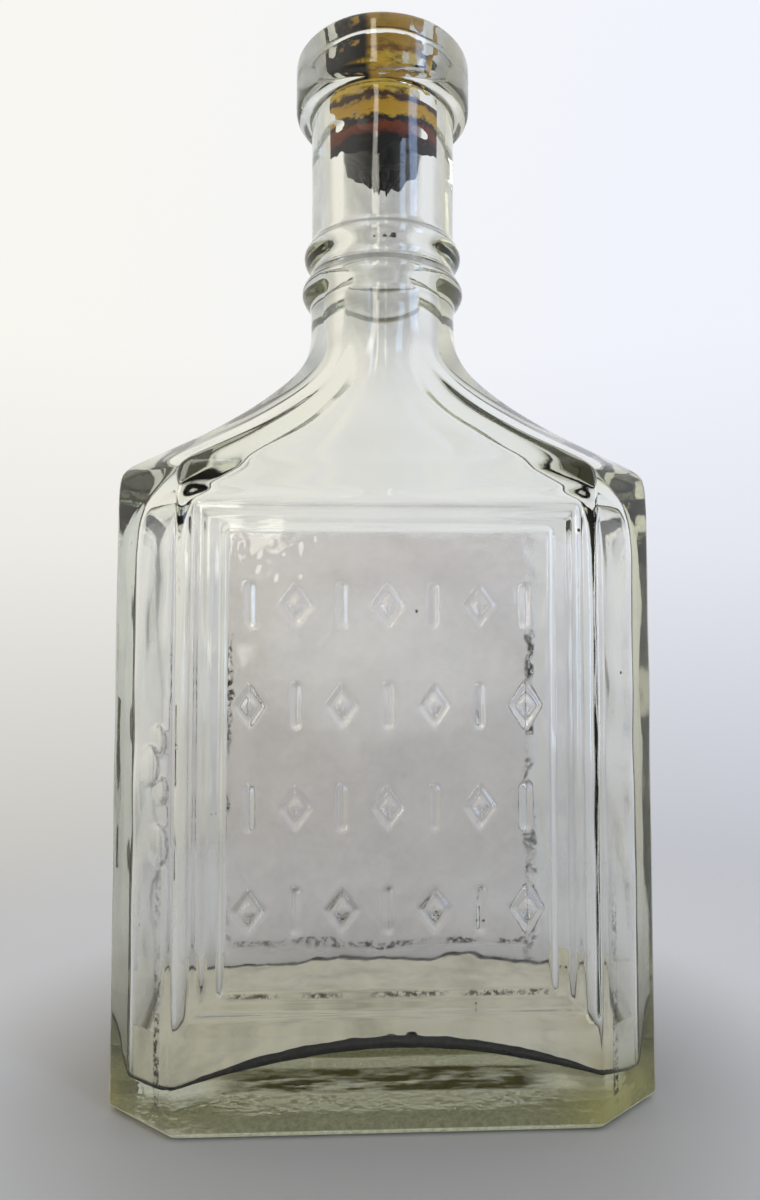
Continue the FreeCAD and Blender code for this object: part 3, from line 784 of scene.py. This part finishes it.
def dirt_share(tree, position, x, y, z, speckle):
    """Where dark dirt lies: broken lines along inner corners, the rims of the bruises and a few specks."""
    wide_x = maths(tree, "ABSOLUTE", x)
    back_wall = between(tree, y, *BACK_WALL, 0.6)
    lines = (
        (between(tree, wide_x, 26.6, 27.8, 0.5), between(tree, z, 16.0, 66.0, 8.0), back_wall),
        (between(tree, z, 13.6, 14.3, 0.5), ramp(tree, wide_x, 30.0, 26.0), back_wall),
        (ramp(tree, y, -18.2, -18.5), between(tree, z, 18.5, 18.9, 0.2), ramp(tree, wide_x, 23.5, 21.0)),
        (between(tree, wide_x, 31.6, 32.2, 0.3), ramp(tree, y, -15.6, -16.2), ramp(tree, z, 46.0, 14.0)))
    dirt = 0.0
    for line in lines:
        dirt = maths(tree, "MAXIMUM", dirt, product(tree, *line))
    patch = ramp(tree, noise(tree, position, 7.0, 3.0, 0.5), 0.38, 0.58)
    dirt = product(tree, dirt, ramp(tree, speckle, 0.44, 0.56), patch)
    rims = product(tree, chip_rims(tree, position), ramp(tree, speckle, 0.40, 0.58, 0.12, 0.55))
    dots = add(tree, "ShaderNodeTexVoronoi", {"Vector": position, "Scale": 1 / (7 * MM)})
    chosen = add(tree, "ShaderNodeSeparateColor", {0: dots.outputs["Color"]}).outputs[0]
    specks = product(tree, ramp(tree, dots.outputs["Distance"], 0.045, 0.03), ramp(tree, chosen, 0.70, 0.72))
    return maths(tree, "MAXIMUM", maths(tree, "MAXIMUM", dirt, rims), specks)


def haze_and_shade_colour(tree, x, z, cloud):
    """The frosted film's colour, partly painted shade: paler in the middle of the panel and in clouds, darker
    near its top.
    """
    across = maths(tree, "DIVIDE", x, 17.0)
    up = maths(tree, "DIVIDE", maths(tree, "SUBTRACT", z, 64.0), 11.0)
    off_middle = maths(tree, "ADD", maths(tree, "POWER", across, 2.0), maths(tree, "POWER", up, 2.0))
    paleness = maths(tree, "ADD", ramp(tree, off_middle, 2.4, 0.2), ramp(tree, cloud, 0.45, 0.7, 0.0, 0.5))
    paleness = maths(tree, "MULTIPLY", paleness, ramp(tree, z, 81.0, 73.0))
    return blend(tree, paleness, (0.70, 0.63, 0.605), (1.0, 0.94, 0.925))


def glass_material():
    """Old moulded glass: clear, yellow-green where it is thick, with films and stains from its contents; two
    of the films are partly painted shade.
    """
    material, tree = new_material("old_clear_glass")
    position, x, y, z = place(tree)
    wide_x, wide_y = maths(tree, "ABSOLUTE", x), maths(tree, "ABSOLUTE", y)

    grain = noise(tree, position, 1.1, 5.0, 0.6)
    under_base = ramp(tree, z, 1.25, 1.0)
    pebbles = maths(tree, "MULTIPLY", noise(tree, position, 2.2, 2.0, 0.5), under_base)
    relief = maths(tree, "MULTIPLY_ADD", pebbles, 60.0, grain)
    surface = add(tree, "ShaderNodeBsdfPrincipled", {
        "Base Color": (1, 1, 1, 1), "Roughness": 0.02, "IOR": 1.51, "Transmission Weight": 1.0,
        "Normal": bumped(tree, relief, 0.25, 0.02)}).outputs[0]

    cloud = noise(tree, position, 11.0, 5.0, 0.6)
    speckle = noise(tree, position, 0.9, 6.0, 0.75)

    # a thin dusty film on the back half, thicker low down and in the neck: partly real dust, partly painted
    # shade
    dust_and_shade_height = maths(tree, "ADD", ramp(tree, z, 96.0, 88.0), ramp(tree, z, 108.0, 124.0, 0.0, 3.0))
    dust_and_painted_shade = product(tree, ramp(tree, y, 0.0, 4.0), maths(tree, "ADD", dust_and_shade_height, 0.3),
                    ramp(tree, cloud, 0.3, 0.7, 0.03, 0.11))
    surface = coat(tree, surface, dust_and_painted_shade, Base_Color=(0.46, 0.44, 0.42, 1), Roughness=0.8)

    # a frosted film on the inside of the back wall, behind the panel; its greys are partly painted shade
    haze_and_painted_shade = product(tree, between(tree, y, *BACK_WALL, 0.6), ramp(tree, wide_x, 28.0, 26.5),
                   between(tree, z, 14.0, 86.5, 2.0), ramp(tree, cloud, 0.3, 0.7, 0.6, 0.9))
    surface = coat(tree, surface, haze_and_painted_shade, Base_Color=haze_and_shade_colour(tree, x, z, cloud), Roughness=0.5, IOR=1.51,
                   Transmission_Weight=1.0)

    # a cream film on the floor inside
    on_floor = product(tree, ramp(tree, wide_y, 15.3, 14.9), ramp(tree, wide_x, 35.5, 35.0),
                       between(tree, z, 4.0, 12.6, 0.5))
    floor_film = product(tree, on_floor, ramp(tree, cloud, 0.3, 0.6, 0.6, 1.0))
    surface = coat(tree, surface, floor_film, Base_Color=(0.98, 0.93, 0.74, 1), Roughness=0.6)

    # the dull, pebbled underside with brown blots, and yellow lower corners, more so on the right
    dull_base = product(tree, under_base, ramp(tree, wide_y, 2.0, 5.0, 0.5, 1.0),
                        ramp(tree, speckle, 0.3, 0.7, 0.5, 0.9))
    surface = coat(tree, surface, dull_base, Base_Color=(0.88, 0.88, 0.60, 1), Roughness=0.9)
    drawn_out = vector_maths(tree, "MULTIPLY", position, (0.35, 1.0, 1.0))
    blots = noise(tree, drawn_out, 2.2, 4.0, 0.65)
    brown = product(tree, under_base, ramp(tree, wide_x, 28.0, 20.0), between(tree, y, -2.6, 7.0, 1.8),
                    ramp(tree, blots, 0.36, 0.60, 0.30, 1.0))
    surface = coat(tree, surface, brown, Base_Color=(0.26, 0.23, 0.03, 1), Roughness=1.0,
                   Specular_IOR_Level=0.0)
    rightward = maths(tree, "MULTIPLY_ADD", x, 0.2, wide_x)
    yellow = product(tree, ramp(tree, rightward, 24.0, 38.0), ramp(tree, z, 8.5, 3.5),
                     ramp(tree, cloud, 0.35, 0.6, 0.2, 0.55))
    surface = coat(tree, surface, yellow, Base_Color=(0.46, 0.42, 0.14, 1), Roughness=0.7)

    dirt = dirt_share(tree, position, x, y, z, speckle)
    surface = coat(tree, surface, dirt, Base_Color=(0.04, 0.03, 0.015, 1), Roughness=0.6)

    volume = add(tree, "ShaderNodeVolumeAbsorption", {"Color": (0.50, 0.517, 0.20, 1), "Density": 20.0})
    add(tree, "ShaderNodeOutputMaterial", {"Surface": surface, "Volume": volume.outputs[0]})
    return material


def cork_material():
    """Old cork: ochre, banded with dark brown, black where the medicine soaked its lower end."""
    material, tree = new_material("stained_cork")
    position, x, _, z = place(tree)
    wobble = maths(tree, "MULTIPLY_ADD", noise(tree, position, 5.5, 5.0, 0.7), 4.4, -2.2)
    ragged = maths(tree, "MULTIPLY_ADD", noise(tree, position, 1.5, 4.0, 0.7), 3.0, -1.5)
    height = maths(tree, "ADD", z, maths(tree, "ADD", wobble, ragged))
    lowest = CORK_BANDS[0][0]
    span = CORK_BANDS[-1][0] - lowest
    share = maths(tree, "DIVIDE", maths(tree, "SUBTRACT", height, lowest), span)
    bands = add(tree, "ShaderNodeValToRGB", {0: share})
    fill_ramp(bands, [((at - lowest) / span, colour) for at, colour in CORK_BANDS])
    drawn_out = vector_maths(tree, "MULTIPLY", position, (0.35, 0.35, 1.0))
    grain = noise(tree, drawn_out, 0.9, 6.0, 0.7)
    grained = blend(tree, ramp(tree, grain, 0.52, 0.68, 0.0, 0.65), bands.outputs[0], (0.05, 0.02, 0.006))
    black_patch = product(tree, ramp(tree, x, -1.5, -2.6), ramp(tree, z, 158.6, 159.6),
                          ramp(tree, noise(tree, position, 1.6, 4.0), 0.36, 0.44))
    colour = blend(tree, black_patch, grained, (0.006, 0.004, 0.003))
    shader = add(tree, "ShaderNodeBsdfPrincipled", {
        "Base Color": colour, "Roughness": 0.62, "Specular IOR Level": 0.4,
        "Normal": bumped(tree, grain, 0.8, 0.25)})
    add(tree, "ShaderNodeOutputMaterial", {"Surface": shader.outputs[0]})
    return material


def crust_material(name, dark, light, roughness):
    """Dried medicine: nearly black, a little glossy, with brown thin spots."""
    material, tree = new_material(name)
    position = place(tree)[0]
    grain = noise(tree, position, 0.8, 6.0, 0.7)
    colour = blend(tree, ramp(tree, grain, 0.5, 0.75), dark, light)
    shader = add(tree, "ShaderNodeBsdfPrincipled", {
        "Base Color": colour, "Roughness": roughness, "Normal": bumped(tree, grain, 0.9, 0.2)})
    add(tree, "ShaderNodeOutputMaterial", {"Surface": shader.outputs[0]})
    return material


# ---- stage, light and camera --------------------------------------------------------------------------

FLOOR_PAINTED_SHADOW = (36.0, 84.0)  # the floor is greyer nearer the bottle than this: a painted shadow round the bottle
FLOOR_FADE = (75.0, 190.0)  # the floor fades into the backdrop between these distances from the bottle
# the backdrop's greys from straight down (0) to straight up (1)
BACKDROP = ((0.0, 0.66), (0.24, 0.62), (0.34, 0.50), (0.465, 0.70), (0.55, 0.84), (0.66, 0.94), (1.0, 0.96))
# each window's colour, its degrees round from the front, half its width in degrees, its lower and upper edge
WINDOWS = (((6.0, 5.8, 5.2), -14.0, 3.5, 0.06, 0.7), ((2.4, 3.5, 5.6), 48.0, 7.0, -0.12, 0.6))
LENS = 25.4
EYE = (-6.34, -138.2, 67.9)
TILT_UP = 0.0454  # in radians
TURN_RIGHT = 0.043


def make_floor():
    """A pale round floor with a painted shadow round the bottle, fading away towards the plain backdrop."""
    material, tree = new_material("pale_floor")
    _, x, y, _ = place(tree)
    squares = [maths(tree, "POWER", value, 2.0) for value in (x, y)]
    distance = maths(tree, "SQRT", maths(tree, "ADD", *squares))
    # painted shadow: the floor's colour turns greyer towards the bottle
    colour = blend(tree, ramp(tree, distance, *FLOOR_PAINTED_SHADOW), (0.40, 0.39, 0.375), (0.62, 0.62, 0.63))
    paper = add(tree, "ShaderNodeBsdfDiffuse", {"Color": colour})
    nothing = add(tree, "ShaderNodeBsdfTransparent")
    shader = add(tree, "ShaderNodeMixShader",
                 {0: ramp(tree, distance, *FLOOR_FADE), 1: paper.outputs[0], 2: nothing.outputs[0]})
    add(tree, "ShaderNodeOutputMaterial", {"Surface": shader.outputs[0]})
    radius = FLOOR_FADE[1] + 10  # past the fade, so that the edge doesn't show
    angles = np.linspace(0, 2 * math.pi, 64, endpoint=False)
    points = [(radius * math.cos(a), radius * math.sin(a), -0.05) for a in angles]
    floor = new_object("floor", points, [list(range(64))], material, smooth=False)


def strip(tree, azimuth, elevation, at, half, low, top):
    """A soft-edged upright window, at degrees round from the front and half as wide, between two heights."""
    away = maths(tree, "ABSOLUTE", maths(tree, "SUBTRACT", azimuth, math.radians(at)))
    across = ramp(tree, away, math.radians(half * 1.25), math.radians(half * 0.75))
    upright = maths(tree, "MULTIPLY", ramp(tree, elevation, top + 0.05, top - 0.05),
                    ramp(tree, elevation, low - 0.05, low + 0.05))
    return maths(tree, "MULTIPLY", across, upright)


def make_surroundings():
    """A pale backdrop, darker towards the floor. The light on the bottle adds a dim front and two windows."""
    world = bpy.data.worlds.new("studio")
    world.use_nodes = True
    bpy.context.scene.world = world
    tree = world.node_tree
    tree.nodes.clear()
    direction = add(tree, "ShaderNodeTexCoord").outputs["Generated"]
    parts = add(tree, "ShaderNodeSeparateXYZ", {0: direction})
    x, y, z = parts.outputs
    height = add(tree, "ShaderNodeValToRGB", {0: maths(tree, "MULTIPLY_ADD", z, 0.5, 0.5)})
    fill_ramp(height, [(at, (grey, grey, grey)) for at, grey in BACKDROP])
    tint = blend(tree, ramp(tree, x, -0.4, 0.45), (1.0, 0.985, 0.93), (0.93, 0.955, 1.04))
    backdrop = vector_maths(tree, "MULTIPLY", height.outputs[0], tint)
    lit = vector_maths(tree, "SCALE", backdrop, Scale=ramp(tree, y, -0.92, -0.50, 0.16, 1.0))
    azimuth = maths(tree, "ARCTAN2", x, maths(tree, "MULTIPLY", y, -1.0))
    for colour, *where in WINDOWS:
        light = vector_maths(tree, "SCALE", colour, Scale=strip(tree, azimuth, z, *where))
        lit = vector_maths(tree, "ADD", lit, light)
    lighting = add(tree, "ShaderNodeBackground", {"Color": lit})
    plain = add(tree, "ShaderNodeBackground", {"Color": backdrop})
    seen = add(tree, "ShaderNodeLightPath").outputs["Is Camera Ray"]
    shown = add(tree, "ShaderNodeMixShader", {0: seen, 1: lighting.outputs[0], 2: plain.outputs[0]})
    add(tree, "ShaderNodeOutputWorld", {"Surface": shown.outputs[0]})


def make_camera():
    """A wide lens close in front of the bottle, a little left of its middle and tilted slightly up."""
    data = bpy.data.cameras.new("camera")
    data.sensor_width = 36.0
    data.lens = LENS
    data.clip_start = 0.005
    camera = bpy.data.objects.new("camera", data)
    camera.location = [value * MM for value in EYE]
    camera.rotation_euler = (math.pi / 2 + TILT_UP, 0.0, -TURN_RIGHT)
    bpy.context.scene.collection.objects.link(camera)
    bpy.context.scene.camera = camera


# ---- assembly -----------------------------------------------------------------------------------------


def dress(piece, body, node):
    """Puts a finished piece on its body in place of a CAD node."""
    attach(piece, body)
    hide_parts(node)


make_camera()
make_surroundings()
make_floor()
dress(make_bottle(glass_material()), "bottle", "glass_bottle")
residue = crust_material("dried_residue", (0.010, 0.009, 0.005), (0.06, 0.05, 0.02), 0.45)
dress(make_residue(residue), "bottle", "floor_residue")
dress(make_cork(cork_material()), "stopper", "cork_stopper")
crust = crust_material("black_crust", (0.006, 0.004, 0.003), (0.035, 0.018, 0.008), 0.4)
dress(make_crust(crust), "stopper", "cork_crust")
bpy.context.scene.view_settings.view_transform = "Standard"
